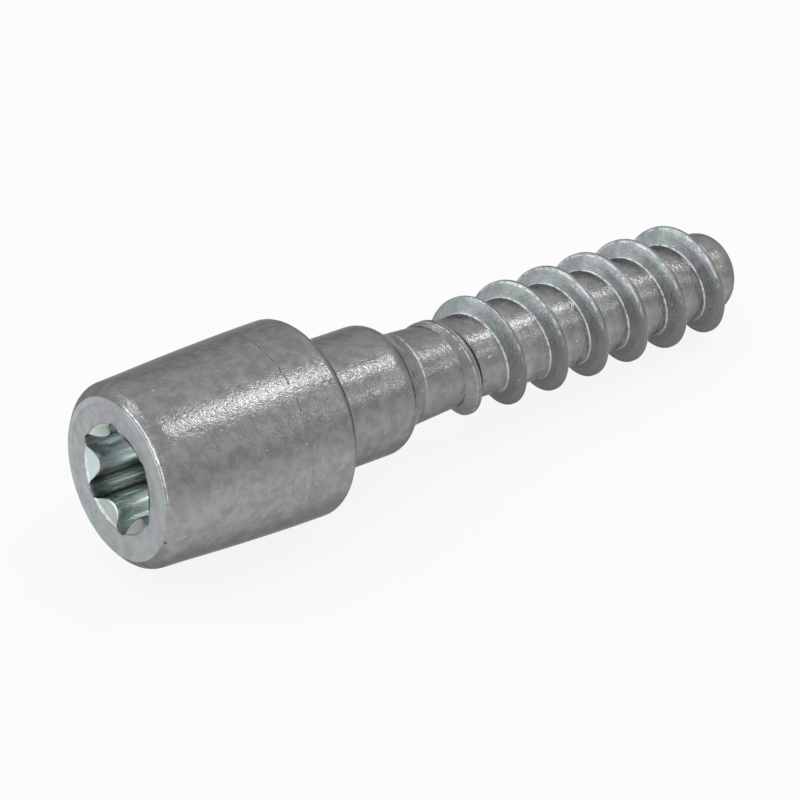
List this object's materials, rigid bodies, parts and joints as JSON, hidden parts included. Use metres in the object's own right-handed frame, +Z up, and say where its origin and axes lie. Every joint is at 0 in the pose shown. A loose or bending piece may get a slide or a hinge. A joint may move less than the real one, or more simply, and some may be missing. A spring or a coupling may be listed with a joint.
{
  "type": "cheese head screw",
  "caption": "One-piece steel screw with a tall cylindrical head, a six-lobe socket, a plain locating collar, a slim neck and a coarse thread that ends in a blunt tip.",
  "frame": {"origin": "centre of the underside of the bounding box, on the surface that the screw lies on", "axes": "+Z up, +X from the head to the tip; the screw's own axis lies in the XZ plane and dips 4.42 degrees towards the tip"},
  "size_m": [0.031, 0.008, 0.0082],
  "materials": {
    "zinc_plated_steel": "bright zinc plating with a clear, slightly blue passivation, satin and finely mottled"
  },
  "bodies": {
    "root": {"screw": "zinc_plated_steel"}
  },
  "joints": []
}
